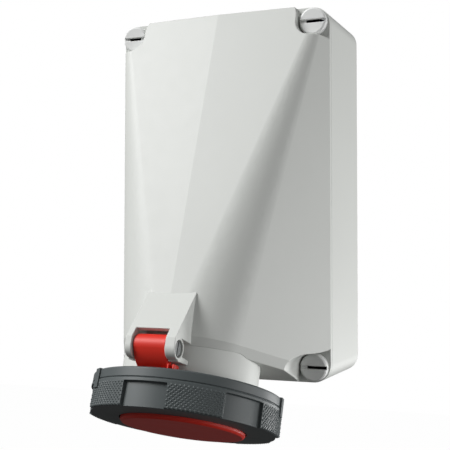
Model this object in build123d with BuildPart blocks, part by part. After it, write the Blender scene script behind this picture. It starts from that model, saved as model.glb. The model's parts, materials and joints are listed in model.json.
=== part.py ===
from build123d import *
import os
from math import atan, cos, radians, sin, tan

os.makedirs("parts", exist_ok=True)

# Industrial wall socket. Millimetres, X to the right for someone facing the wall, Y into the wall,
# Z up. The origin is the centre of the four wall holes, on the back face of the box.

# Box
box_width = 170.0
box_height = 275.5
box_depth = 75.0
box_corner = 13.0
box_wall = 4.0
back_wall = 4.0
back_edge_round = 2.0
wall_hole_x = 120.0
wall_hole_z = 210.0
wall_hole_radius = 3.5
wall_head_radius = 7.5
wall_head_depth = 4.0
wall_boss_radius = 11.0
wall_boss_height = 5.0

# Corner screws of the cover
screw_inset = 11.5
screw_head_radius = 10.1
screw_head_height = 5.8
screw_head_chamfer = 1.1
screw_slot_width = 2.6
screw_slot_depth = 1.6
screw_pocket_length = 9.0
screw_pocket_depth = 3.4
screw_shank_radius = 3.9
screw_length = 27.0
post_radius = 10.0
insert_radius = 5.5
insert_length = 18.0
small_gap = 0.1
seal_width = 2.6
seal_height = 1.4

# Cover
flange_thickness = 4.0
cover_wall = 3.2
flange_lip = 6.0
hood_top_depth = 7.4
hood_reach = 106.6
hood_tilt = 19.1
hip_angle = 61.1
ridge_angle = 2.0
hood_round_bottom = 48.5
hood_round_top = 6.0
hood_round_share = 0.96
band_height = 6.9
band_inset = 2.2
recess_radius = 11.2
recess_flare = 2.6
recess_straight = 3.5
gasket_inset = 1.1
gasket_width = 2.0
gasket_height = 2.0

# Socket collar, set square to its own tilted axis
socket_tilt = 20.7
socket_reach = 56.5
collar_radius = 47.9
collar_wall = 2.6
collar_inside = 16.0
collar_length = 38.0
collar_ear = 6.0
collar_ear_height = 3.0
collar_ear_angle = 45.0
collar_ear_half_angle = 9.0
ledge_back = 4.0
ledge_front = 4.0
carrier_radius = 37.5
carrier_gap = 0.5
carrier_front = 36.0
carrier_shoulder = 1.6
carrier_flange = 8.5
carrier_chamfer = 1.2
clamp_lip = 2.5
carrier_gasket_height = 1.5
carrier_screw_radius = 1.95
carrier_screw_pitch_radius = 42.0
carrier_screw_head = 2.9
carrier_screw_head_height = 3.0
carrier_screw_bite = 7.0
key_width = 9.0
key_depth = 2.2

# Contacts
contact_pitch_radius = 24.0
contact_count = 5
phase_bore = 5.02
earth_bore = 6.02
pilot_bore = 3.02
sleeve_wall = 2.0
sleeve_base_wall = 3.1
sleeve_base_length = 10.0
sleeve_depth = 30.0
entry_gap = 0.4
contact_gap = 0.05
front_skin = 2.0
contact_flange_wall = 5.0
contact_flange_height = 4.0
terminal_wall = 3.0
terminal_length = 26.0
wire_bore_wall = 2.4
wire_depth = 20.0
slit_width = 1.0
slit_depth = 22.0
spring_ring_wall = 0.95
spring_ring_height = 3.0
spring_ring_back = 8.0
clamp_screw_radius = 2.6
clamp_screw_length = 5.0
clamp_screw_pitch = 9.5
clamp_first = 6.0
plate_radius = 37.0
plate_thickness = 4.0
plate_screw_pitch_radius = 33.0
plate_screw_radius = 1.5
plate_screw_head = 2.8
plate_screw_bite = 8.0
plate_boss_radius = 3.4

# Lid hinge
pin_reach = 60.4
pin_drop = 8.5
pin_radius = 2.6
pin_head_radius = 4.7
pin_head_height = 2.1
pin_slot_width = 1.2
pin_slot_depth = 1.0
bracket_half = 18.0
arm_left = -12.9
arm_right = 10.2
arm_gap = 0.6
eye_radius = 7.0
eye_bore_radius = 5.7
eye_bore_depth = 3.2
eye_back = 1.3
roof_distance = 8.9
roof_angle = 27.1
roof_end = 1.7
roof_thickness = 3.0
roof_top = 44.0
window_end = 9.2
side_wall_end = 7.6
hood_bite = 5.0
foot_top = 3.7
foot_bottom = 7.6
foot_front = 0.9
foot_reach = 18.0

# Lid
lid_radius = 60.0
lid_back = 41.4
lid_disc = 3.0
lid_gap = 0.4
boss_radius = 43.4
boss_end = 50.8
boss_chamfer = 1.5
boss_floor = 3.2
boss_wall = 3.4
arm_nose_radius = 7.0
arm_nose_back = 1.5
arm_nose_up = 2.2
arm_nose_top_angle = 74.0
arm_nose_low_angle = 25.0
arm_top_back = 4.5
arm_top_up = 7.6
arm_waist = 5.9
arm_heel = 12.0
arm_bend = 11.6
arm_front = 5.4
arm_thickness = 3.8
arm_base_start = 9.3
arm_base_front = 1.8
arm_base_bend = 12.2
arm_base_end = 18.0
arm_base_right = 15.4
arm_groove_start = 1.3
arm_groove_width = 2.4
arm_groove_depth = 1.2
lid_gasket_inner = 44.9
lid_gasket_outer = 50.3
lid_gasket_height = 3.0
lid_rib_wall = 1.4
lid_rib_height = 2.0
spring_room_radius = 4.0
spring_room_length = 8.4
spring_wire_radius = 0.45
spring_coil_radius = 3.25
spring_pitch = 1.3
spring_turns = 5

# Locking ring
ring_top = 22.0
ring_radius = 66.2
ring_grip_radius = 66.5
ring_inner = 60.6
ring_band = 6.75
ring_groove_width = 0.7
ring_groove_depth = 0.8
ring_side_end = 25.0
ring_end = 25.9
ring_edge = 1.2
ring_cone = 0.3
ring_opening = 44.3
ring_floor = 3.1
pocket_count = 6
pocket_half_angle = 13.5
pocket_start = 9.4
pocket_depth = 2.5
clip_inner = 57.7
clip_bite = 1.0
clip_height = 1.6
clip_open_angle = 22.0
lug_count = 3
lug_half_angle = 13.0
lug_inner = 55.2
lug_start = 1.0
lug_height = 5.0
ring_lug_angle = 45.0
lock_turn = 35.0
ramp_radius = 54.0
ramp_gap = 0.6
ramp_height = 5.0
notch_radius = 54.8
mark_half_angle = 2.6
mark_height = 1.2
mark_length = 13.0
mark_left_angle = 130.0
mark_right_angle = -8.0

# Cable entry in the top wall, closed by a plug
entry_radius = 24.25
entry_boss_wall = 6.0
entry_depth = 12.0
plug_radius = 28.5
plug_head = 4.5
plug_wall = 3.0
plug_slot_width = 4.0
plug_slot_length = 34.0
plug_slot_depth = 2.4
plug_seal_height = 1.5

# Worked out from the sizes above
front_depth = box_depth + flange_thickness
lower_edge = (0, -front_depth, -box_height / 2)
tilt = radians(socket_tilt)
out_dir = Vector(0, -sin(tilt), -cos(tilt))
fore_dir = Vector(0, -cos(tilt), sin(tilt))
mouth_origin = Vector(*lower_edge) + fore_dir * socket_reach
mouth = Plane(origin=mouth_origin, x_dir=(1, 0, 0), z_dir=out_dir)
profile = Plane(origin=mouth_origin, x_dir=(1, 0, 0), z_dir=fore_dir * -1)
mouth_axis = Axis(mouth_origin, out_dir)
pin_origin = mouth_origin + fore_dir * pin_reach + out_dir * pin_drop
hinge = Plane(origin=pin_origin, x_dir=fore_dir, z_dir=(1, 0, 0))

hood_lean = radians(hood_tilt)
hood_base = Plane(origin=lower_edge, x_dir=(1, 0, 0), z_dir=(0, sin(hood_lean), cos(hood_lean)))
hood_height = box_height * cos(hood_lean)
hood_front_top = -hood_height * tan(hood_lean) - hood_top_depth / cos(hood_lean)
hip_slope = tan(radians(hip_angle)) / cos(hood_lean)
hip_turn = atan(hip_slope)
ridge_turn = radians(ridge_angle)
right_slope = (cos(ridge_turn), sin(ridge_turn))
left_slope = (-cos(ridge_turn), sin(ridge_turn))

screw_x = box_width / 2 - screw_inset
screw_z = box_height / 2 - screw_inset
collar_bore = collar_radius - collar_wall
ledge_hole = carrier_radius + carrier_gap
clamp_radius = collar_bore - carrier_gap
carrier_seat = -ledge_back - carrier_gasket_height
carrier_back = carrier_seat - carrier_flange
clamp_back = carrier_back - clamp_lip
sleeve_front = carrier_front - front_skin
plate_front = carrier_back - contact_flange_height
lid_front = lid_back + lid_disc
ring_bottom = ring_top + ring_end
clip_top = lid_back - lid_gap - clip_height
left_lug_face = arm_left - arm_gap
right_lug_face = arm_right + arm_gap
entry_y = -box_depth / 2


def corner_blocks(radius, depth):
    # Rounded squares around the corner screws, open to the sides of the box, from the screw seats forward
    reach = screw_inset + 1.0
    low = (screw_x + recess_straight, screw_z - radius)
    low_end = (screw_x + reach, screw_z - radius - recess_flare)
    side = (screw_x - radius, screw_z + recess_straight)
    side_end = (screw_x - radius - recess_flare, screw_z + reach)
    with BuildPart() as blocks:
        with BuildSketch(Plane.XZ.offset(front_depth)):
            with BuildLine():
                TangentArc(low, low_end, tangent=(1, 0))
                Line(low, (screw_x, screw_z - radius))
                TangentArc((screw_x, screw_z - radius), (screw_x - radius, screw_z), tangent=(-1, 0))
                Line((screw_x - radius, screw_z), side)
                TangentArc(side, side_end, tangent=(0, 1))
                Polyline(side_end, (screw_x + reach, screw_z + reach), low_end)
            make_face()
        extrude(amount=depth)
        mirror(about=Plane.YZ)
        mirror(about=Plane.XY)
    return blocks.part


def hood(levels):
    # Two front halves that meet in a shallow ridge, flat hips through the front edges of the box, and a
    # growing round between each half and its hip. Each level is a height above the sloping bottom, square
    # to it, and an inset from the outer skin.
    with BuildPart() as form:
        for height, inset in levels:
            share = height / hood_height
            back = -height * tan(hood_lean)
            front = -hood_reach + (hood_front_top + hood_reach) * share + inset
            edge = box_width / 2 - inset / sin(hip_turn)
            corner_x = (front - back + edge * hip_slope) / (hip_slope - tan(ridge_turn))
            corner_y = front + corner_x * tan(ridge_turn)
            round_radius = hood_round_bottom + (hood_round_top - hood_round_bottom) * share - inset
            reach = min(round_radius * tan((hip_turn - ridge_turn) / 2), hood_round_share * corner_x)
            start_x = corner_x - reach * cos(ridge_turn)
            start_y = corner_y - reach * sin(ridge_turn)
            meet_x = corner_x + reach * cos(hip_turn)
            meet_y = corner_y + reach * sin(hip_turn)
            with BuildSketch(hood_base.offset(height)):
                with BuildLine():
                    Polyline((-start_x, start_y), (0, front), (start_x, start_y))
                    TangentArc((start_x, start_y), (meet_x, meet_y), tangent=right_slope)
                    Polyline((meet_x, meet_y), (edge, back), (-edge, back), (-meet_x, meet_y))
                    TangentArc((-start_x, start_y), (-meet_x, meet_y), tangent=left_slope)
                make_face()
        loft(ruled=True)
    return form.part


def wedge(radius_in, radius_out, start, height, middle, half):
    # A sector of a ring on the socket's axis, from start outwards, in degrees from the right-hand side
    points = [middle - half, middle, middle + half]
    with BuildPart() as sector:
        with BuildSketch(mouth.offset(start)):
            with BuildLine():
                inner = [(radius_in * cos(radians(a)), radius_in * sin(radians(a))) for a in points]
                outer = [(radius_out * cos(radians(a)), radius_out * sin(radians(a))) for a in points]
                ThreePointArc(*inner)
                ThreePointArc(*outer)
                Line(inner[0], outer[0])
                Line(inner[2], outer[2])
            make_face()
        extrude(amount=height)
    return sector.part


def tube(radius_out, radius_in, start, height):
    # A ring on the socket's axis, from start outwards
    with BuildPart() as ring:
        with BuildSketch(mouth.offset(start)):
            Circle(radius_out)
            if radius_in > 0:
                Circle(radius_in, mode=Mode.SUBTRACT)
        extrude(amount=height)
    return ring.part


screw_places = GridLocations(2 * screw_x, 2 * screw_z, 2, 2)
wall_hole_places = GridLocations(wall_hole_x, wall_hole_z, 2, 2)

# Back box: an open tray with a post for each corner screw and a boss for each wall hole
with BuildPart() as back_box:
    with BuildSketch(Plane.XZ):
        RectangleRounded(box_width, box_height, box_corner)
    extrude(amount=box_depth)
    fillet(back_box.faces().sort_by(Axis.Y)[-1].edges(), back_edge_round)
    with BuildSketch(Plane.XZ.offset(back_wall)):
        RectangleRounded(box_width - 2 * box_wall, box_height - 2 * box_wall, box_corner - box_wall)
    extrude(amount=box_depth, mode=Mode.SUBTRACT)
    with BuildSketch(Plane.XZ.offset(back_wall / 2)):
        with screw_places:
            Circle(post_radius)
    extrude(amount=box_depth - back_wall / 2)
    with BuildSketch(Plane.XZ.offset(back_wall / 2)):
        with wall_hole_places:
            Circle(wall_boss_radius)
    extrude(amount=back_wall / 2 + wall_boss_height)
    with BuildSketch(Plane.XZ.offset(back_wall + wall_boss_height)):
        with wall_hole_places:
            Circle(wall_head_radius)
    extrude(amount=-wall_head_depth, mode=Mode.SUBTRACT)
    with BuildSketch(Plane.XZ):
        with wall_hole_places:
            Circle(wall_hole_radius)
    extrude(amount=box_depth, mode=Mode.SUBTRACT)
    with BuildSketch(Plane.XZ.offset(box_depth)):
        with screw_places:
            Circle(insert_radius + small_gap / 2)
    extrude(amount=-insert_length, mode=Mode.SUBTRACT)
    with BuildSketch(Plane.XZ.offset(box_depth)):
        with screw_places:
            Circle(screw_shank_radius + small_gap)
    extrude(amount=-screw_length, mode=Mode.SUBTRACT)
    with BuildSketch(Plane.XY.offset(box_height / 2 - box_wall / 2)):
        with Locations((0, entry_y)):
            Circle(entry_radius + entry_boss_wall)
    extrude(amount=box_wall / 2 - entry_depth)
    with BuildSketch(Plane.XY.offset(box_height / 2)):
        with Locations((0, entry_y)):
            Circle(entry_radius)
    extrude(amount=-entry_depth, mode=Mode.SUBTRACT)
back_box.part.label = "back_box"
export_step(back_box.part, "parts/back_box.step")

# Threaded inserts in the posts
with BuildPart() as post_inserts:
    with BuildSketch(Plane.XZ.offset(box_depth)):
        with screw_places:
            Circle(insert_radius)
            Circle(screw_shank_radius + small_gap / 2, mode=Mode.SUBTRACT)
    extrude(amount=-insert_length)
post_inserts.part.label = "post_inserts"
export_step(post_inserts.part, "parts/post_inserts.step")

# Room inside the cover, which leaves the skin and the screw corners standing
with BuildPart() as cover_room:
    add(hood([(cover_wall, cover_wall), (hood_height, cover_wall)]))
    split(bisect_by=Plane.XY.offset(box_height / 2 - cover_wall), keep=Keep.BOTTOM)
    with BuildSketch(Plane.XZ.offset(box_depth - 1)):
        RectangleRounded(box_width - 2 * flange_lip, box_height - 2 * flange_lip, box_corner / 2)
    extrude(amount=flange_thickness + 1)
    add(corner_blocks(recess_radius + cover_wall, box_height).moved(Location((0, flange_thickness + 1, 0))),
        mode=Mode.SUBTRACT)

# Cover: flange, hood and hinge bracket in one moulding
with BuildPart() as cover:
    add(hood([(band_height, 0), (hood_height, 0)]))
    add(hood([(0, band_inset), (band_height, 0)]))
    split(bisect_by=Plane.XY.offset(box_height / 2), keep=Keep.BOTTOM)
    with BuildSketch(Plane.XZ.offset(box_depth)):
        RectangleRounded(box_width, box_height, box_corner)
    extrude(amount=flange_thickness)
    add(corner_blocks(recess_radius, box_height), mode=Mode.SUBTRACT)

    # Hinge bracket: two cheeks with eyes and feet, and a sloping roof with a window for the arm
    roof_line = radians(roof_angle)
    roof_out = Vector(cos(roof_line), -sin(roof_line))
    roof_up = Vector(-sin(roof_line), -cos(roof_line))
    roof_foot = roof_out * roof_distance + roof_up * roof_end
    roof_head = roof_out * roof_distance + roof_up * roof_top
    window_edge = roof_out * roof_distance + roof_up * window_end
    bite = -(pin_reach - collar_radius) - hood_bite
    left_cheek = (-bracket_half, bracket_half + left_lug_face)
    right_cheek = (right_lug_face, bracket_half - right_lug_face)
    for face_x, width in (left_cheek, right_cheek):
        with BuildSketch(hinge.offset(face_x)):
            with BuildLine():
                Polyline(
                    (eye_radius, 0),
                    roof_foot,
                    roof_head,
                    (bite, roof_head.Y),
                    (bite, -side_wall_end),
                    (-eye_back, -eye_radius),
                    (0, 0),
                    close=True,
                )
            make_face()
            Circle(eye_radius)
            with BuildLine():
                Polyline(
                    (-foot_front, foot_bottom + foot_front / 2),
                    (-foot_reach, foot_bottom - 1),
                    (-foot_reach, foot_top),
                    (-eye_radius / 2, foot_top),
                    (0, 0),
                    close=True,
                )
            make_face()
        extrude(amount=width)
    with BuildSketch(hinge.offset(left_lug_face)):
        with BuildLine():
            inner_edge = window_edge - roof_out * roof_thickness
            inner_head = roof_head - roof_out * roof_thickness
            Polyline(window_edge, roof_head, (bite, roof_head.Y), inner_head, inner_edge, close=True)
        make_face()
    extrude(amount=right_lug_face - left_lug_face)

    add(cover_room.part, mode=Mode.SUBTRACT)

    # Collar hole, pin bores, screw holes, seal seats and gasket groove
    hole = tube(collar_radius + contact_gap, 0, -collar_inside, collar_inside + collar_length)
    add(hole, mode=Mode.SUBTRACT)
    with BuildSketch(hinge.offset(-bracket_half)):
        Circle(pin_radius + small_gap / 4)
    extrude(amount=2 * bracket_half, mode=Mode.SUBTRACT)
    with BuildSketch(hinge.offset(bracket_half)):
        Circle(eye_bore_radius)
    extrude(amount=-eye_bore_depth, mode=Mode.SUBTRACT)
    with BuildSketch(Plane.XZ.offset(box_depth)):
        with screw_places:
            Circle(screw_shank_radius + small_gap)
    extrude(amount=flange_thickness, mode=Mode.SUBTRACT)
    with BuildSketch(Plane.XZ.offset(front_depth)):
        with screw_places:
            Circle(screw_shank_radius + seal_width)
    extrude(amount=-seal_height, mode=Mode.SUBTRACT)
    with BuildSketch(Plane.XZ.offset(box_depth)):
        inset = 2 * gasket_inset
        RectangleRounded(box_width - inset, box_height - inset, box_corner - gasket_inset)
        inset = 2 * (gasket_inset + gasket_width)
        RectangleRounded(box_width - inset, box_height - inset, box_corner - inset / 2, mode=Mode.SUBTRACT)
    extrude(amount=gasket_height, mode=Mode.SUBTRACT)
cover.part.label = "cover"
export_step(cover.part, "parts/cover.step")

# Collar: a tube with the carrier's ledge and the bayonet ramps, held by two ears inside the cover
with BuildPart() as socket_collar:
    add(tube(collar_radius, 0, -collar_inside, collar_inside + collar_length))
    add(tube(collar_bore, 0, ledge_front, collar_length), mode=Mode.SUBTRACT)
    add(tube(collar_bore, 0, -collar_inside, collar_inside - ledge_back), mode=Mode.SUBTRACT)
    add(tube(ledge_hole, 0, -ledge_back, ledge_back + ledge_front), mode=Mode.SUBTRACT)
    with BuildSketch(mouth.offset(-ledge_back)):
        with PolarLocations(carrier_screw_pitch_radius, 4, start_angle=45):
            Circle(carrier_screw_radius + small_gap / 2)
    extrude(amount=carrier_screw_bite, mode=Mode.SUBTRACT)
    for middle in (-collar_ear_angle, collar_ear_angle - 180):
        ear_start = -cover_wall - collar_ear_height
        ear_end = collar_radius + collar_ear
        add(wedge(collar_radius - 1, ear_end, ear_start, collar_ear_height, middle, collar_ear_half_angle))
    for index in range(lug_count):
        middle = ring_lug_angle - lock_turn + 360 / lug_count * index
        ramp_start = ring_top + lug_start + lug_height + ramp_gap
        add(wedge(collar_radius - 1, ramp_radius, ramp_start, ramp_height, middle, lug_half_angle))
socket_collar.part.label = "socket_collar"
export_step(socket_collar.part, "parts/socket_collar.step")

# Gasket between the box and the cover
with BuildPart() as cover_gasket:
    with BuildSketch(Plane.XZ.offset(box_depth)):
        inset = 2 * gasket_inset
        RectangleRounded(box_width - inset, box_height - inset, box_corner - gasket_inset)
        inset = 2 * (gasket_inset + gasket_width)
        RectangleRounded(box_width - inset, box_height - inset, box_corner - inset / 2, mode=Mode.SUBTRACT)
    extrude(amount=gasket_height)
cover_gasket.part.label = "cover_gasket"
export_step(cover_gasket.part, "parts/cover_gasket.step")

# Cover screws with slotted cylinder heads
with BuildPart() as cover_screws:
    with BuildSketch(Plane.XZ.offset(front_depth)):
        with screw_places:
            Circle(screw_head_radius)
    extrude(amount=screw_head_height)
    chamfer(cover_screws.faces().sort_by(Axis.Y)[:4].edges(), screw_head_chamfer)
    with BuildSketch(Plane.XZ.offset(front_depth)):
        with screw_places:
            Circle(screw_shank_radius)
    extrude(amount=small_gap - screw_length)
    with BuildSketch(Plane.XZ.offset(front_depth + screw_head_height)):
        with screw_places:
            Rectangle(2 * screw_head_radius, screw_slot_width)
    extrude(amount=-screw_slot_depth, mode=Mode.SUBTRACT)
    with BuildSketch(Plane.XZ.offset(front_depth + screw_head_height)):
        with screw_places:
            Rectangle(screw_pocket_length, screw_slot_width - 2 * small_gap)
    extrude(amount=-screw_pocket_depth, mode=Mode.SUBTRACT)
cover_screws.part.label = "cover_screws"
export_step(cover_screws.part, "parts/cover_screws.step")

with BuildPart() as screw_seals:
    with BuildSketch(Plane.XZ.offset(front_depth - seal_height)):
        with screw_places:
            Circle(screw_shank_radius + seal_width - small_gap)
            Circle(screw_shank_radius + small_gap, mode=Mode.SUBTRACT)
    extrude(amount=seal_height)
screw_seals.part.label = "screw_seals"
export_step(screw_seals.part, "parts/screw_seals.step")

# Blanking plug and its seal in the cable entry
plug_seat = box_height / 2 + plug_seal_height
with BuildPart() as blanking_plug:
    with BuildSketch(Plane.XY.offset(plug_seat)):
        with Locations((0, entry_y)):
            Circle(plug_radius)
    extrude(amount=plug_head)
    chamfer(blanking_plug.faces().sort_by(Axis.Z)[-1].edges(), plug_head / 4)
    with BuildSketch(Plane.XY.offset(plug_seat)):
        with Locations((0, entry_y)):
            Circle(entry_radius - small_gap / 2)
            Circle(entry_radius - plug_wall, mode=Mode.SUBTRACT)
    extrude(amount=-entry_depth)
    with BuildSketch(Plane.XY.offset(plug_seat + plug_head)):
        with Locations((0, entry_y)):
            SlotOverall(plug_slot_length, plug_slot_width)
    extrude(amount=-plug_slot_depth, mode=Mode.SUBTRACT)
blanking_plug.part.label = "blanking_plug"
export_step(blanking_plug.part, "parts/blanking_plug.step")

with BuildPart() as plug_seal:
    with BuildSketch(Plane.XY.offset(box_height / 2)):
        with Locations((0, entry_y)):
            Circle(plug_radius - plug_head / 4)
            Circle(entry_radius + small_gap, mode=Mode.SUBTRACT)
    extrude(amount=plug_seal_height)
plug_seal.part.label = "plug_seal"
export_step(plug_seal.part, "parts/plug_seal.step")

# Contacts: name, bore and place, the earth at the bottom and the pilot in the middle
step_angle = 360 / contact_count
contacts = [("contact_pilot", pilot_bore, (0, 0))]
for index, name in enumerate(("earth", "line_1", "line_2", "line_3", "neutral")):
    angle = radians(-90 + step_angle * index)
    bore = earth_bore if name == "earth" else phase_bore
    centre = (contact_pitch_radius * cos(angle), contact_pitch_radius * sin(angle))
    contacts.append(("contact_" + name, bore, centre))

# Contact carrier, put in from behind with its shoulder on a gasket
with BuildPart() as contact_carrier:
    with BuildSketch(mouth.offset(carrier_back)):
        Circle(carrier_radius + carrier_shoulder)
    extrude(amount=carrier_flange)
    with BuildSketch(mouth.offset(carrier_seat)):
        Circle(carrier_radius)
    extrude(amount=carrier_front - carrier_seat)
    chamfer(contact_carrier.faces().sort_by(mouth_axis)[-1].edges(), carrier_chamfer)
    for name, bore, place in contacts:
        with BuildSketch(mouth.offset(carrier_back)):
            with Locations(place):
                Circle(bore + sleeve_base_wall + contact_gap)
        extrude(amount=sleeve_front - carrier_back, mode=Mode.SUBTRACT)
        with BuildSketch(mouth.offset(sleeve_front)):
            with Locations(place):
                Circle(bore + entry_gap)
        extrude(amount=front_skin, mode=Mode.SUBTRACT)
    with BuildSketch(mouth.offset(carrier_back)):
        with PolarLocations(plate_screw_pitch_radius, contact_count, start_angle=-90 + step_angle / 2):
            Circle(plate_screw_radius + small_gap / 2)
    extrude(amount=plate_screw_bite, mode=Mode.SUBTRACT)
    with BuildSketch(mouth.offset(carrier_seat + ledge_back)):
        with Locations((0, -carrier_radius)):
            Rectangle(key_width, 2 * key_depth)
    extrude(amount=carrier_front, mode=Mode.SUBTRACT)
contact_carrier.part.label = "contact_carrier"
export_step(contact_carrier.part, "parts/contact_carrier.step")

# Clamp ring that presses the carrier's shoulder against the gasket
with BuildPart() as carrier_clamp:
    add(tube(clamp_radius, carrier_radius + carrier_shoulder + small_gap, carrier_back, carrier_flange))
    add(tube(clamp_radius, carrier_radius + small_gap, clamp_back, clamp_lip))
    with BuildSketch(mouth.offset(clamp_back)):
        with PolarLocations(carrier_screw_pitch_radius, 4, start_angle=45):
            Circle(carrier_screw_radius + small_gap)
    extrude(amount=clamp_lip + carrier_flange, mode=Mode.SUBTRACT)
carrier_clamp.part.label = "carrier_clamp"
export_step(carrier_clamp.part, "parts/carrier_clamp.step")

with BuildPart() as carrier_gasket:
    with BuildSketch(mouth.offset(carrier_seat)):
        Circle(clamp_radius)
        Circle(ledge_hole, mode=Mode.SUBTRACT)
        with PolarLocations(carrier_screw_pitch_radius, 4, start_angle=45):
            Circle(carrier_screw_radius + small_gap, mode=Mode.SUBTRACT)
    extrude(amount=carrier_gasket_height)
carrier_gasket.part.label = "carrier_gasket"
export_step(carrier_gasket.part, "parts/carrier_gasket.step")

with BuildPart() as carrier_screws:
    with BuildSketch(mouth.offset(clamp_back)):
        with PolarLocations(carrier_screw_pitch_radius, 4, start_angle=45):
            Circle(carrier_screw_head)
    extrude(amount=-carrier_screw_head_height)
    with BuildSketch(mouth.offset(clamp_back)):
        with PolarLocations(carrier_screw_pitch_radius, 4, start_angle=45):
            Circle(carrier_screw_radius)
    extrude(amount=-ledge_back - clamp_back + carrier_screw_bite - small_gap)
carrier_screws.part.label = "carrier_screws"
export_step(carrier_screws.part, "parts/carrier_screws.step")

# Contacts, each a slit sleeve with a flange and a clamp body behind it
for name, bore, place in contacts:
    wire_bore = max(bore + terminal_wall - wire_bore_wall, bore)
    with BuildPart() as contact:
        with BuildSketch(mouth.offset(carrier_back)):
            with Locations(place):
                Circle(bore + sleeve_base_wall)
        extrude(amount=sleeve_base_length)
        with BuildSketch(mouth.offset(carrier_back)):
            with Locations(place):
                Circle(bore + sleeve_wall)
        extrude(amount=sleeve_front - carrier_back - small_gap)
        with BuildSketch(mouth.offset(plate_front)):
            with Locations(place):
                Circle(bore + contact_flange_wall)
        extrude(amount=contact_flange_height)
        with BuildSketch(mouth.offset(plate_front)):
            with Locations(place):
                Circle(bore + terminal_wall)
        extrude(amount=-terminal_length)
        with BuildSketch(mouth.offset(sleeve_front)):
            with Locations(place):
                Circle(bore)
        extrude(amount=-sleeve_depth, mode=Mode.SUBTRACT)
        with BuildSketch(mouth.offset(sleeve_front)):
            with Locations(place):
                Rectangle(4 * bore, slit_width)
                Rectangle(slit_width, 4 * bore)
        extrude(amount=-slit_depth, mode=Mode.SUBTRACT)
        with BuildSketch(mouth.offset(plate_front - terminal_length)):
            with Locations(place):
                Circle(wire_bore)
        extrude(amount=wire_depth, mode=Mode.SUBTRACT)
        for row in range(2):
            depth = plate_front - terminal_length + clamp_first + row * clamp_screw_pitch
            seat = mouth.origin + out_dir * depth + Vector(1, 0, 0) * place[0] + fore_dir * place[1]
            with BuildSketch(Plane(origin=seat, x_dir=(1, 0, 0), z_dir=fore_dir)):
                Circle(min(clamp_screw_radius, bore) + small_gap / 2)
            extrude(amount=2 * bore + 2 * terminal_wall, mode=Mode.SUBTRACT)
    contact.part.label = name
    export_step(contact.part, "parts/" + name + ".step")

# Spring rings that close the slit sleeves on a pin
with BuildPart() as sleeve_rings:
    for name, bore, place in contacts:
        with BuildSketch(mouth.offset(sleeve_front - spring_ring_back - spring_ring_height)):
            with Locations(place):
                Circle(bore + sleeve_wall + spring_ring_wall)
                Circle(bore + sleeve_wall + small_gap / 10, mode=Mode.SUBTRACT)
        extrude(amount=spring_ring_height)
sleeve_rings.part.label = "sleeve_rings"
export_step(sleeve_rings.part, "parts/sleeve_rings.step")

# Clamp screws, two to each contact
with BuildPart() as clamp_screws:
    for name, bore, place in contacts:
        for row in range(2):
            depth = plate_front - terminal_length + clamp_first + row * clamp_screw_pitch
            top = bore + terminal_wall + clamp_screw_length / 3
            seat = mouth.origin + out_dir * depth + Vector(1, 0, 0) * place[0] + fore_dir * (place[1] + top)
            with BuildSketch(Plane(origin=seat, x_dir=(1, 0, 0), z_dir=fore_dir)):
                Circle(min(clamp_screw_radius, bore))
            extrude(amount=-clamp_screw_length)
            with BuildSketch(Plane(origin=seat, x_dir=(1, 0, 0), z_dir=fore_dir)):
                Rectangle(2 * clamp_screw_radius, slit_width)
            extrude(amount=-slit_width, mode=Mode.SUBTRACT)
clamp_screws.part.label = "clamp_screws"
export_step(clamp_screws.part, "parts/clamp_screws.step")

# Plate that holds the contact flanges against the carrier
with BuildPart() as contact_plate:
    with BuildSketch(mouth.offset(plate_front)):
        Circle(plate_radius)
    extrude(amount=-plate_thickness)
    with BuildSketch(mouth.offset(plate_front)):
        with PolarLocations(plate_screw_pitch_radius, contact_count, start_angle=-90 + step_angle / 2):
            Circle(plate_boss_radius)
    extrude(amount=contact_flange_height)
    for name, bore, place in contacts:
        with BuildSketch(mouth.offset(plate_front)):
            with Locations(place):
                Circle(bore + terminal_wall + contact_gap)
        extrude(amount=-plate_thickness, mode=Mode.SUBTRACT)
    with BuildSketch(mouth.offset(carrier_back)):
        with PolarLocations(plate_screw_pitch_radius, contact_count, start_angle=-90 + step_angle / 2):
            Circle(plate_screw_radius + small_gap)
    extrude(amount=-contact_flange_height - plate_thickness, mode=Mode.SUBTRACT)
contact_plate.part.label = "contact_plate"
export_step(contact_plate.part, "parts/contact_plate.step")

with BuildPart() as plate_screws:
    with BuildSketch(mouth.offset(plate_front - plate_thickness)):
        with PolarLocations(plate_screw_pitch_radius, contact_count, start_angle=-90 + step_angle / 2):
            Circle(plate_screw_head)
    extrude(amount=-plate_screw_head)
    with BuildSketch(mouth.offset(plate_front - plate_thickness)):
        with PolarLocations(plate_screw_pitch_radius, contact_count, start_angle=-90 + step_angle / 2):
            Circle(plate_screw_radius)
    extrude(amount=plate_thickness + contact_flange_height + plate_screw_bite - small_gap)
plate_screws.part.label = "plate_screws"
export_step(plate_screws.part, "parts/plate_screws.step")

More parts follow.
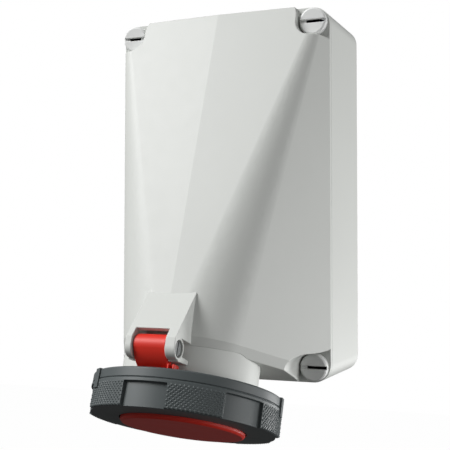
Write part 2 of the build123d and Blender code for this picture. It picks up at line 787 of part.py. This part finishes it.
# Lid: disc with a raised middle and an arm with a rounded head on the pin
with BuildPart() as lid:
    with BuildSketch(mouth.offset(lid_back)):
        Circle(lid_radius)
    extrude(amount=lid_disc)
    with BuildSketch(mouth.offset(lid_front)):
        Circle(boss_radius)
    extrude(amount=boss_end - lid_front)
    chamfer(lid.faces().sort_by(mouth_axis)[-1].edges(), boss_chamfer)
    with BuildSketch(mouth.offset(lid_back)):
        Circle(boss_radius - boss_wall)
    extrude(amount=boss_end - boss_floor - lid_back, mode=Mode.SUBTRACT)
    with BuildSketch(mouth.offset(lid_back)):
        Circle(lid_gasket_outer + lid_rib_wall + small_gap)
        Circle(lid_gasket_outer + small_gap, mode=Mode.SUBTRACT)
    extrude(amount=-lid_rib_height)
    for index in range(lug_count):
        middle = ring_lug_angle - lock_turn / 2 + 360 / lug_count * index
        notch = wedge(notch_radius, lid_radius + 1, lid_back, lid_disc, middle, lug_half_angle + 2)
        add(notch, mode=Mode.SUBTRACT)
    arm_end = lid_back - pin_drop + lid_disc / 2
    arm_back = -arm_front - arm_thickness
    nose_centre = Vector(-arm_nose_back, -arm_nose_up)
    nose_top = radians(arm_nose_top_angle)
    nose_low = radians(arm_nose_low_angle)
    nose_start = nose_centre + Vector(cos(nose_top), -sin(nose_top)) * arm_nose_radius
    nose_middle = nose_centre + Vector(arm_nose_radius, 0)
    nose_end = nose_centre + Vector(cos(nose_low), sin(nose_low)) * arm_nose_radius
    with BuildSketch(hinge.offset(arm_left)):
        with BuildLine():
            ThreePointArc(nose_start, nose_middle, nose_end)
            TangentArc(nose_end, (-arm_front, arm_bend), tangent=(-sin(nose_low), cos(nose_low)))
            Polyline(
                (-arm_front, arm_bend),
                (-arm_front, arm_end),
                (arm_back, arm_end),
                (arm_back, arm_heel),
                (-arm_waist, 0),
                (-arm_top_back, -arm_top_up),
                nose_start,
            )
        make_face()
    extrude(amount=arm_right - arm_left)
    with BuildSketch(hinge.offset(arm_right)):
        with BuildLine():
            Polyline(
                (-arm_base_front, arm_base_start),
                (-arm_base_front, arm_base_bend),
                (-arm_front, arm_base_end),
                (-arm_front, arm_end),
                (arm_back, arm_end),
                (arm_back, arm_base_start),
                close=True,
            )
        make_face()
    extrude(amount=arm_base_right - arm_right)
    with BuildSketch(hinge.offset(arm_right + arm_groove_start)):
        with Locations((-arm_front - arm_groove_depth, 0)):
            Rectangle(arm_front, lid_back - pin_drop, align=(Align.MIN, Align.MIN))
    extrude(amount=arm_groove_width, mode=Mode.SUBTRACT)
    with BuildSketch(hinge.offset(arm_left)):
        Circle(pin_radius + contact_gap)
    extrude(amount=arm_right - arm_left, mode=Mode.SUBTRACT)
    with BuildSketch(hinge.offset(arm_left)):
        Circle(spring_room_radius)
    extrude(amount=spring_room_length, mode=Mode.SUBTRACT)
lid.part.label = "lid"
export_step(lid.part, "parts/lid.step")

with BuildPart() as lid_gasket:
    with BuildSketch(mouth.offset(lid_back)):
        Circle(lid_gasket_outer)
        Circle(lid_gasket_inner, mode=Mode.SUBTRACT)
    extrude(amount=-lid_gasket_height)
lid_gasket.part.label = "lid_gasket"
export_step(lid_gasket.part, "parts/lid_gasket.step")

# Closing spring around the pin, inside the knuckle
spring_length = spring_pitch * spring_turns
spring_start = arm_left + (spring_room_length - spring_length) / 2
spring_origin = pin_origin + Vector(1, 0, 0) * spring_start
with BuildPart() as lid_spring:
    with BuildLine():
        coil = Helix(
            pitch=spring_pitch,
            height=spring_length,
            radius=spring_coil_radius,
            center=spring_origin,
            direction=(1, 0, 0),
        )
    with BuildSketch(Plane(origin=coil @ 0, z_dir=coil % 0)):
        Circle(spring_wire_radius)
    sweep(path=coil, is_frenet=True)
lid_spring.part.label = "lid_spring"
export_step(lid_spring.part, "parts/lid_spring.step")

# Hinge pin with a slotted head in the right-hand eye
with BuildPart() as hinge_pin:
    with BuildSketch(hinge.offset(bracket_half - eye_bore_depth)):
        Circle(pin_radius)
    extrude(amount=eye_bore_depth - 2 * bracket_half + small_gap)
    with BuildSketch(hinge.offset(bracket_half - eye_bore_depth)):
        Circle(pin_head_radius)
    extrude(amount=pin_head_height)
    with BuildSketch(hinge.offset(bracket_half - eye_bore_depth + pin_head_height)):
        Rectangle(pin_slot_width, 2 * pin_head_radius)
    extrude(amount=-pin_slot_depth, mode=Mode.SUBTRACT)
hinge_pin.part.label = "hinge_pin"
export_step(hinge_pin.part, "parts/hinge_pin.step")

# Locking ring: a turned form with grip pockets outside and bayonet lugs inside
pocket_floor = ring_grip_radius - pocket_depth
lid_seat = ring_bottom - ring_floor
clip_outer = ring_inner + clip_bite
groove = ring_top + ring_band
with BuildPart() as locking_ring:
    with BuildSketch(profile):
        with BuildLine():
            Polyline(
                (ring_inner, ring_top),
                (ring_radius - ring_groove_depth, ring_top),
                (ring_radius, ring_top + ring_groove_depth),
                (ring_radius, groove - ring_groove_width / 2),
                (ring_radius - ring_groove_depth, groove),
                (ring_grip_radius, groove + ring_groove_width),
                (ring_grip_radius, ring_top + ring_side_end),
                (ring_grip_radius - ring_edge, ring_bottom - ring_cone),
                (ring_opening, ring_bottom),
                (ring_opening, lid_seat),
                (ring_inner, lid_seat),
                (ring_inner, clip_top + clip_height + small_gap),
                (clip_outer + small_gap, clip_top + clip_height + small_gap),
                (clip_outer + small_gap, clip_top - small_gap),
                (ring_inner, clip_top - small_gap),
                close=True,
            )
        make_face()
    revolve(axis=mouth_axis)
    for index in range(pocket_count):
        middle = 90 + 360 / pocket_count * index
        start = ring_top + pocket_start
        pocket = wedge(pocket_floor, ring_grip_radius + 2, start, ring_end, middle, pocket_half_angle)
        add(pocket, mode=Mode.SUBTRACT)
    for index in range(lug_count):
        middle = ring_lug_angle + 360 / lug_count * index
        add(wedge(lug_inner, ring_inner + 1, ring_top + lug_start, lug_height, middle, lug_half_angle))
    for middle in (mark_left_angle, mark_right_angle):
        mark_top = ring_grip_radius + mark_height
        add(wedge(ring_radius - 1, mark_top, ring_top, mark_length, middle, mark_half_angle))
locking_ring.part.label = "locking_ring"
export_step(locking_ring.part, "parts/locking_ring.step")

# Open clip in the ring's inner groove, which keeps the ring on the lid
with BuildPart() as ring_clip:
    add(tube(clip_outer, clip_inner, clip_top, clip_height))
    clip_gap = wedge(clip_inner - 1, clip_outer + 1, clip_top, clip_height, -90, clip_open_angle / 2)
    add(clip_gap, mode=Mode.SUBTRACT)
ring_clip.part.label = "ring_clip"
export_step(ring_clip.part, "parts/ring_clip.step")
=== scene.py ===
import json
from math import cos, pi, radians, tau

import bmesh
import bpy
from mathutils import Matrix, Vector

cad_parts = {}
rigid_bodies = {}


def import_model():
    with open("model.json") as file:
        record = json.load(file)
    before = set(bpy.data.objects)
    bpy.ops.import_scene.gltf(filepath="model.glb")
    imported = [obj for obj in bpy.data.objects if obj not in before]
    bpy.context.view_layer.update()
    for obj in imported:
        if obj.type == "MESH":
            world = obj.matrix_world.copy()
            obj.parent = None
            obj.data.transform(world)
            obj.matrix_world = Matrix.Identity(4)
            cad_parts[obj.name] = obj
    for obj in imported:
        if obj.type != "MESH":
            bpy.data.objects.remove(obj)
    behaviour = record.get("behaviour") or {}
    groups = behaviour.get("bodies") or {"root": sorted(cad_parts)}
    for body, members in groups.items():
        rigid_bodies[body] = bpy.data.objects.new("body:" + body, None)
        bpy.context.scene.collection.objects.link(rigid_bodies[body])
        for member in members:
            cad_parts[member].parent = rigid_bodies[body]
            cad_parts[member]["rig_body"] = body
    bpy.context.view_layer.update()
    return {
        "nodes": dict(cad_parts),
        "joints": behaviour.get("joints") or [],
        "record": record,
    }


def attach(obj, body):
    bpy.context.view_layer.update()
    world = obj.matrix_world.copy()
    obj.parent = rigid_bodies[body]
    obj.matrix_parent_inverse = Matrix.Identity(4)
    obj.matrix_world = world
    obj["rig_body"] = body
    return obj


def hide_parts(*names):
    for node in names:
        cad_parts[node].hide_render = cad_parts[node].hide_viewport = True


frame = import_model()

joints = {joint["name"]: joint for joint in frame["joints"]}
nodes = frame["nodes"]
slotOf = {part["node"]: part["material_slot"] for part in frame["record"]["subparts"]}
print("frame loaded:", len(nodes), "nodes")

# The outlet's own frame: x to the right, y forward, z out of the mouth
outDir = Vector(joints["ring_turn"]["axis"]).normalized()
sideDir = Vector((1, 0, 0))
foreDir = outDir.cross(sideDir)
mouthMatrix = Matrix((sideDir, foreDir, outDir)).transposed().to_4x4()
mouthMatrix.translation = Vector(joints["ring_turn"]["pos_m"])
mm = 0.001


# Camera at the photograph's place
camera = {
    "place": (0.26846, -0.70606, -0.04220),
    "turnLeft": 23.03,
    "tiltUp": 1.69,
    "lens": 71.49,
    "sensor": 36.0,
}
cameraData = bpy.data.cameras.new("camera")
cameraData.lens = camera["lens"]
cameraData.sensor_width = camera["sensor"]
cameraObject = bpy.data.objects.new("camera", cameraData)
cameraObject.location = camera["place"]
cameraObject.rotation_euler = (radians(90 + camera["tiltUp"]), 0, radians(camera["turnLeft"]))
bpy.context.scene.collection.objects.link(cameraObject)
bpy.context.scene.camera = cameraObject
bpy.context.scene.view_settings.view_transform = "Standard"
print("camera set")


# Materials
def newMaterial(name):
    material = bpy.data.materials.new(name)
    material.use_nodes = True
    tree = material.node_tree
    return material, tree, tree.nodes["Principled BSDF"]


def calculator(tree):
    # Adds one calculation to the tree and gives its result
    def calc(operation, first, second=0.0):
        node = tree.nodes.new("ShaderNodeMath")
        node.operation = operation
        for socket, value in zip(node.inputs, (first, second)):
            if isinstance(value, (int, float)):
                socket.default_value = value
            else:
                tree.links.new(value, socket)
        return node.outputs[0]

    return calc


def addNoise(tree, scale, detail, roughness=0.5):
    coordinate = tree.nodes.new("ShaderNodeTexCoord")
    noise = tree.nodes.new("ShaderNodeTexNoise")
    noise.inputs["Scale"].default_value = scale
    noise.inputs["Detail"].default_value = detail
    noise.inputs["Roughness"].default_value = roughness
    tree.links.new(coordinate.outputs["Object"], noise.inputs["Vector"])
    return noise.outputs["Fac"]


def addRamp(tree, source, span, colourLow, colourHigh):
    ramp = tree.nodes.new("ShaderNodeValToRGB")
    for stop, position, colour in zip(ramp.color_ramp.elements, span, (colourLow, colourHigh)):
        stop.position = position
        stop.color = (*colour, 1)
    tree.links.new(source, ramp.inputs["Fac"])
    return ramp.outputs["Color"]


def addRange(tree, source, low, high):
    mapped = tree.nodes.new("ShaderNodeMapRange")
    mapped.inputs["To Min"].default_value = low
    mapped.inputs["To Max"].default_value = high
    tree.links.new(source, mapped.inputs["Value"])
    return mapped.outputs["Result"]


def addGrain(tree, shader, size, height, detail):
    # Fine texture of the mould or the rubber, as a bump
    bump = tree.nodes.new("ShaderNodeBump")
    bump.inputs["Strength"].default_value = 1.0
    bump.inputs["Distance"].default_value = height
    tree.links.new(addNoise(tree, 1 / size, detail, 0.6), bump.inputs["Height"])
    tree.links.new(bump.outputs["Normal"], shader.inputs["Normal"])


# Noise as (scale, detail), and the span of it that runs from one colour to the other
moulding = {"clouds": (14, 3), "span": (0.3, 0.7), "sheen": (120, 4), "uneven": 0.04, "grainDetail": 4}
turning = {"darker": 0.8, "tarnish": (90, 4), "span": (0.35, 0.75), "lines": (1400, 2), "smoother": 0.08,
           "rougher": 0.1}
dusting = {"paler": 1.6, "dust": (60, 5), "span": (0.35, 0.8), "grainDetail": 2}


def mouldedPlastic(name, finish):
    # Slight cloudiness of the colour, an uneven sheen and a fine eroded grain
    material, tree, shader = newMaterial(name)
    colour = finish["colour"]
    darker = [part * (1 - finish["clouds"]) for part in colour]
    clouds = addRamp(tree, addNoise(tree, *moulding["clouds"]), moulding["span"], darker, colour)
    tree.links.new(clouds, shader.inputs["Base Color"])
    smooth, rough = finish["rough"] - moulding["uneven"], finish["rough"] + moulding["uneven"]
    sheen = addRange(tree, addNoise(tree, *moulding["sheen"]), smooth, rough)
    tree.links.new(sheen, shader.inputs["Roughness"])
    addGrain(tree, shader, finish["grain"], finish["grainHeight"], moulding["grainDetail"])
    shader.inputs["Specular IOR Level"].default_value = finish["gloss"]
    return material


def turnedMetal(name, finish):
    # Fine lines of the tool and a light tarnish
    material, tree, shader = newMaterial(name)
    shader.inputs["Metallic"].default_value = 1.0
    colour = finish["colour"]
    darker = [part * turning["darker"] for part in colour]
    tarnish = addRamp(tree, addNoise(tree, *turning["tarnish"]), turning["span"], darker, colour)
    tree.links.new(tarnish, shader.inputs["Base Color"])
    smooth, rough = finish["rough"] - turning["smoother"], finish["rough"] + turning["rougher"]
    lines = addRange(tree, addNoise(tree, *turning["lines"]), smooth, rough)
    tree.links.new(lines, shader.inputs["Roughness"])
    return material


def mattRubber(name, finish):
    # Dust in the pores of a dark elastic seal
    material, tree, shader = newMaterial(name)
    colour = finish["colour"]
    dusty = [part * dusting["paler"] for part in colour]
    dust = addRamp(tree, addNoise(tree, *dusting["dust"]), dusting["span"], colour, dusty)
    tree.links.new(dust, shader.inputs["Base Color"])
    shader.inputs["Roughness"].default_value = finish["rough"]
    addGrain(tree, shader, finish["grain"], finish["grainHeight"], dusting["grainDetail"])
    return material


plastics = {
    "housing": {"colour": (0.61, 0.625, 0.60), "clouds": 0.02, "rough": 0.50, "grain": 0.0006,
                "grainHeight": 0.000006, "gloss": 0.5},
    "screw_plastic": {"colour": (0.80, 0.81, 0.80), "clouds": 0.05, "rough": 0.32, "grain": 0.0006,
                      "grainHeight": 0.00001, "gloss": 0.5},
    "red_plastic": {"colour": (0.72, 0.031, 0.017), "clouds": 0.06, "rough": 0.45, "grain": 0.0006,
                    "grainHeight": 0.000008, "gloss": 0.4},
    "ring_plastic": {"colour": (0.075, 0.088, 0.09), "clouds": 0.08, "rough": 0.45, "grain": 0.0005,
                     "grainHeight": 0.000012, "gloss": 0.4},
    "carrier": {"colour": (0.035, 0.038, 0.042), "clouds": 0.1, "rough": 0.5, "grain": 0.0006,
                "grainHeight": 0.00001, "gloss": 0.5},
    "pin_grey": {"colour": (0.15, 0.158, 0.158), "clouds": 0.05, "rough": 0.4, "grain": 0.0006,
                 "grainHeight": 0.00001, "gloss": 0.5},
}
metals = {
    "brass": {"colour": (0.78, 0.56, 0.25), "rough": 0.3},
    "nickel": {"colour": (0.72, 0.70, 0.66), "rough": 0.25},
    "steel": {"colour": (0.65, 0.66, 0.67), "rough": 0.35},
}
rubbers = {
    "seal": {"colour": (0.02, 0.02, 0.02), "rough": 0.75, "grain": 0.0004, "grainHeight": 0.00003},
}
finishes = {name: mouldedPlastic(name, finish) for name, finish in plastics.items()}
finishes.update({name: turnedMetal(name, finish) for name, finish in metals.items()})
finishes.update({name: mattRubber(name, finish) for name, finish in rubbers.items()})
finishOf = {**slotOf, "hinge_pin": "pin_grey"}  # The pin's head is darker than the screws
for nodeName, node in nodes.items():
    node.data.materials.clear()
    node.data.materials.append(finishes[finishOf[nodeName]])
print("materials made:", len(finishes))


# Softened edges: a copy of the CAD form with its corners rounded as the mould leaves them
softEdges = {
    "cover": 0.45,
    "socket_collar": 0.4,
    "back_box": 0.5,
    "cover_screws": 0.3,
    "blanking_plug": 0.4,
    "lid": 0.4,
    "hinge_pin": 0.2,
    "locking_ring": 0.3,
}
softening = {
    "joinWithin": 0.00001,  # m, between corners that are one point of the CAD form
    "crispAbove": 2,  # degrees between the two faces' shading at an edge
    "flatWithin": 0.4,  # degrees, below which faces are joined
    "roundAbove": 32,  # degrees, from which an edge is rounded
    "segments": 2,
}


def joinedForm(source):
    # One closed surface, with an edge kept crisp only where the CAD form turns a corner there
    mesh = source.data.copy()
    given = [corner.vector.copy() for corner in mesh.corner_normals]
    work = bmesh.new()
    work.from_mesh(mesh)
    facing = work.loops.layers.float_vector.new("facing")
    for face, polygon in zip(work.faces, mesh.polygons):
        for loop, corner in zip(face.loops, polygon.loop_indices):
            loop[facing] = given[corner]
    bmesh.ops.remove_doubles(work, verts=work.verts, dist=softening["joinWithin"])
    for edge in work.edges:
        if len(edge.link_loops) == 2:
            one, other = edge.link_loops
            near = one[facing].dot(other.link_loop_next[facing])
            far = one.link_loop_next[facing].dot(other[facing])
            edge.smooth = min(near, far) > cos(radians(softening["crispAbove"]))
    flat = radians(softening["flatWithin"])
    bmesh.ops.dissolve_limit(work, angle_limit=flat, verts=work.verts, edges=work.edges, delimit={"SHARP"})
    work.loops.layers.float_vector.remove(work.loops.layers.float_vector["facing"])
    for face in work.faces:
        face.smooth = True
    work.to_mesh(mesh)
    work.free()
    return mesh


def softPiece(nodeName, width):
    source = nodes[nodeName]
    mesh = joinedForm(source)
    mesh.name = nodeName + "_soft"
    piece = bpy.data.objects.new(nodeName + "_soft", mesh)
    bpy.context.scene.collection.objects.link(piece)
    bevel = piece.modifiers.new("edges", "BEVEL")
    bevel.width = width * mm
    bevel.segments = softening["segments"]
    bevel.limit_method = "ANGLE"
    bevel.angle_limit = radians(softening["roundAbove"])
    bevel.use_clamp_overlap = False
    shading = piece.modifiers.new("shading", "WEIGHTED_NORMAL")
    shading.keep_sharp = True
    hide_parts(nodeName)
    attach(piece, source["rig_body"])


for nodeName, width in softEdges.items():
    softPiece(nodeName, width)
print("edges softened:", len(softEdges))


# Diamond grip on the locking ring, between its pockets
grip = {
    "radius": 66.45,
    "sectors": 6,
    "firstAngle": 60,
    "columns": 13,
    "rows": 11,
    "start": 32.2,
    "rowStep": 1.42,
    "pitch": 2.84,
    "halfWidth": 1.2212,
    "height": 0.6,
}


def gripTree(material):
    tree = bpy.data.node_groups.new("diamondGrip", "GeometryNodeTree")
    sockets = tree.interface
    sockets.new_socket("Geometry", in_out="OUTPUT", socket_type="NodeSocketGeometry")
    for name in ("Sectors", "Columns", "Rows"):
        sockets.new_socket(name, in_out="INPUT", socket_type="NodeSocketInt")
    for name in ("Radius", "First Angle", "Start", "Row Step", "Pitch", "Half Width", "Height"):
        sockets.new_socket(name, in_out="INPUT", socket_type="NodeSocketFloat")
    given = tree.nodes.new("NodeGroupInput").outputs
    calc = calculator(tree)

    # One point for each diamond, counted along the rows of each sector
    perSector = calc("MULTIPLY", given["Columns"], given["Rows"])
    points = tree.nodes.new("GeometryNodePoints")
    tree.links.new(calc("MULTIPLY", perSector, given["Sectors"]), points.inputs["Count"])
    index = tree.nodes.new("GeometryNodeInputIndex").outputs[0]
    sector = calc("FLOOR", calc("DIVIDE", calc("ADD", index, 0.5), perSector))
    inSector = calc("SUBTRACT", index, calc("MULTIPLY", sector, perSector))
    row = calc("FLOOR", calc("DIVIDE", calc("ADD", inSector, 0.5), given["Columns"]))
    column = calc("SUBTRACT", inSector, calc("MULTIPLY", row, given["Columns"]))
    # Every other row lies half a pitch to the side
    stagger = calc("SUBTRACT", calc("MULTIPLY", calc("MODULO", row, 2), 0.5), 0.25)
    middle = calc("MULTIPLY", calc("SUBTRACT", given["Columns"], 1), 0.5)
    along = calc("ADD", calc("SUBTRACT", column, middle), stagger)
    turn = calc("MULTIPLY", along, calc("DIVIDE", given["Pitch"], given["Radius"]))
    sectorTurn = calc("MULTIPLY", sector, calc("DIVIDE", tau, given["Sectors"]))
    angle = calc("ADD", calc("ADD", turn, sectorTurn), given["First Angle"])
    place = tree.nodes.new("ShaderNodeCombineXYZ")
    tree.links.new(calc("MULTIPLY", calc("COSINE", angle), given["Radius"]), place.inputs["X"])
    tree.links.new(calc("MULTIPLY", calc("SINE", angle), given["Radius"]), place.inputs["Y"])
    height = calc("ADD", calc("MULTIPLY", row, given["Row Step"]), given["Start"])
    tree.links.new(height, place.inputs["Z"])
    tree.links.new(place.outputs[0], points.inputs["Position"])

    # A four-sided point, laid with its tip away from the axis
    point = tree.nodes.new("GeometryNodeMeshCone")
    point.fill_type = "NGON"
    point.inputs["Vertices"].default_value = 4
    point.inputs["Radius Top"].default_value = 0.0
    tree.links.new(given["Half Width"], point.inputs["Radius Bottom"])
    tree.links.new(given["Height"], point.inputs["Depth"])
    lean = tree.nodes.new("ShaderNodeCombineXYZ")
    lean.inputs["Y"].default_value = pi / 2
    tree.links.new(angle, lean.inputs["Z"])
    facing = tree.nodes.new("FunctionNodeEulerToRotation")
    tree.links.new(lean.outputs[0], facing.inputs[0])
    spread = tree.nodes.new("GeometryNodeInstanceOnPoints")
    tree.links.new(points.outputs[0], spread.inputs["Points"])
    tree.links.new(point.outputs["Mesh"], spread.inputs["Instance"])
    tree.links.new(facing.outputs[0], spread.inputs["Rotation"])
    real = tree.nodes.new("GeometryNodeRealizeInstances")
    tree.links.new(spread.outputs[0], real.inputs[0])
    coat = tree.nodes.new("GeometryNodeSetMaterial")
    coat.inputs["Material"].default_value = material
    tree.links.new(real.outputs[0], coat.inputs["Geometry"])
    tree.links.new(coat.outputs[0], tree.nodes.new("NodeGroupOutput").inputs[0])
    return tree


def gripPatch(name, tree, values):
    maker = bpy.data.objects.new(name, bpy.data.meshes.new(name))
    bpy.context.scene.collection.objects.link(maker)
    modifier = maker.modifiers.new("grip", "NODES")
    modifier.node_group = tree
    for socket in tree.interface.items_tree:
        if socket.in_out == "INPUT":
            modifier[socket.identifier] = values[socket.name]
    bpy.context.view_layer.update()
    ready = maker.evaluated_get(bpy.context.evaluated_depsgraph_get())
    mesh = bpy.data.meshes.new_from_object(ready)
    maker.modifiers.clear()
    mesh.transform(mouthMatrix)
    maker.data = mesh
    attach(maker, "ring")


gripNodes = gripTree(finishes["ring_plastic"])
gripPatch("ring_grip", gripNodes, {
    "Sectors": grip["sectors"],
    "Columns": grip["columns"],
    "Rows": grip["rows"],
    "Radius": grip["radius"] * mm,
    "First Angle": radians(grip["firstAngle"]),
    "Start": grip["start"] * mm,
    "Row Step": grip["rowStep"] * mm,
    "Pitch": grip["pitch"] * mm,
    "Half Width": grip["halfWidth"] * mm,
    "Height": grip["height"] * mm,
})
print("grip made")


# Floor and light
def byRay(tree, lit, mirrored, seen):
    # A level for what the surface lights, for what mirrors and glass show, and for what the camera sees
    rays = tree.nodes.new("ShaderNodeLightPath").outputs
    calc = calculator(tree)
    mirror = calc("MAXIMUM", rays["Is Glossy Ray"], rays["Is Transmission Ray"])
    level = calc("ADD", lit, calc("MULTIPLY", mirror, mirrored - lit))
    return calc("ADD", level, calc("MULTIPLY", rays["Is Camera Ray"], seen - lit))


white = (1, 1, 1, 1)
stage = {"z": -1.60, "half": 8.0, "colour": 0.05, "rough": 0.9, "mirrored": 0.03, "seen": 0.955}
floorMesh = bpy.data.meshes.new("floor")
half = stage["half"]
corners = [(x * half, y * half, stage["z"]) for x, y in ((-1, -1), (1, -1), (1, 1), (-1, 1))]
floorMesh.from_pydata(corners, [], [(0, 1, 2, 3)])
floor = bpy.data.objects.new("floor", floorMesh)
bpy.context.scene.collection.objects.link(floor)
floorMaterial, floorTree, floorShader = newMaterial("floorPale")
floorShader.inputs["Base Color"].default_value = (stage["colour"],) * 3 + (1,)
floorShader.inputs["Roughness"].default_value = stage["rough"]
floorShader.inputs["Emission Color"].default_value = white
floorGlow = byRay(floorTree, 0.0, stage["mirrored"], stage["seen"])
floorTree.links.new(floorGlow, floorShader.inputs["Emission Strength"])
floorMesh.materials.append(floorMaterial)

room = {"lit": 0.235, "mirrored": 0.30, "seen": 1.0}
world = bpy.data.worlds.new("studio")
bpy.context.scene.world = world
world.use_nodes = True
background = world.node_tree.nodes["Background"]
background.inputs["Color"].default_value = white
roomLevel = byRay(world.node_tree, room["lit"], room["mirrored"], room["seen"])
world.node_tree.links.new(roomLevel, background.inputs["Strength"])

lamps = {
    "key": {"place": (-3.08, -2.41, 3.22), "aim": (0, -0.08, 0), "size": 2.5, "power": 308},
    "side": {"place": (0.95, -0.06, -0.18), "aim": (0.08, -0.06, -0.05), "size": 0.6, "power": 4.4},
    "rim": {"place": (0.60, 0.55, -0.38), "aim": (0.05, -0.04, -0.08), "size": 0.3, "power": 4.6},
}
for name, lamp in lamps.items():
    lampData = bpy.data.lights.new(name, "AREA")
    lampData.shape = "SQUARE"
    lampData.size = lamp["size"]
    lampData.energy = lamp["power"]
    lampObject = bpy.data.objects.new(name, lampData)
    lampObject.location = lamp["place"]
    aim = Vector(lamp["aim"]) - Vector(lamp["place"])
    lampObject.rotation_euler = aim.to_track_quat("-Z", "Y").to_euler()
    bpy.context.scene.collection.objects.link(lampObject)
print("floor and lamps set")
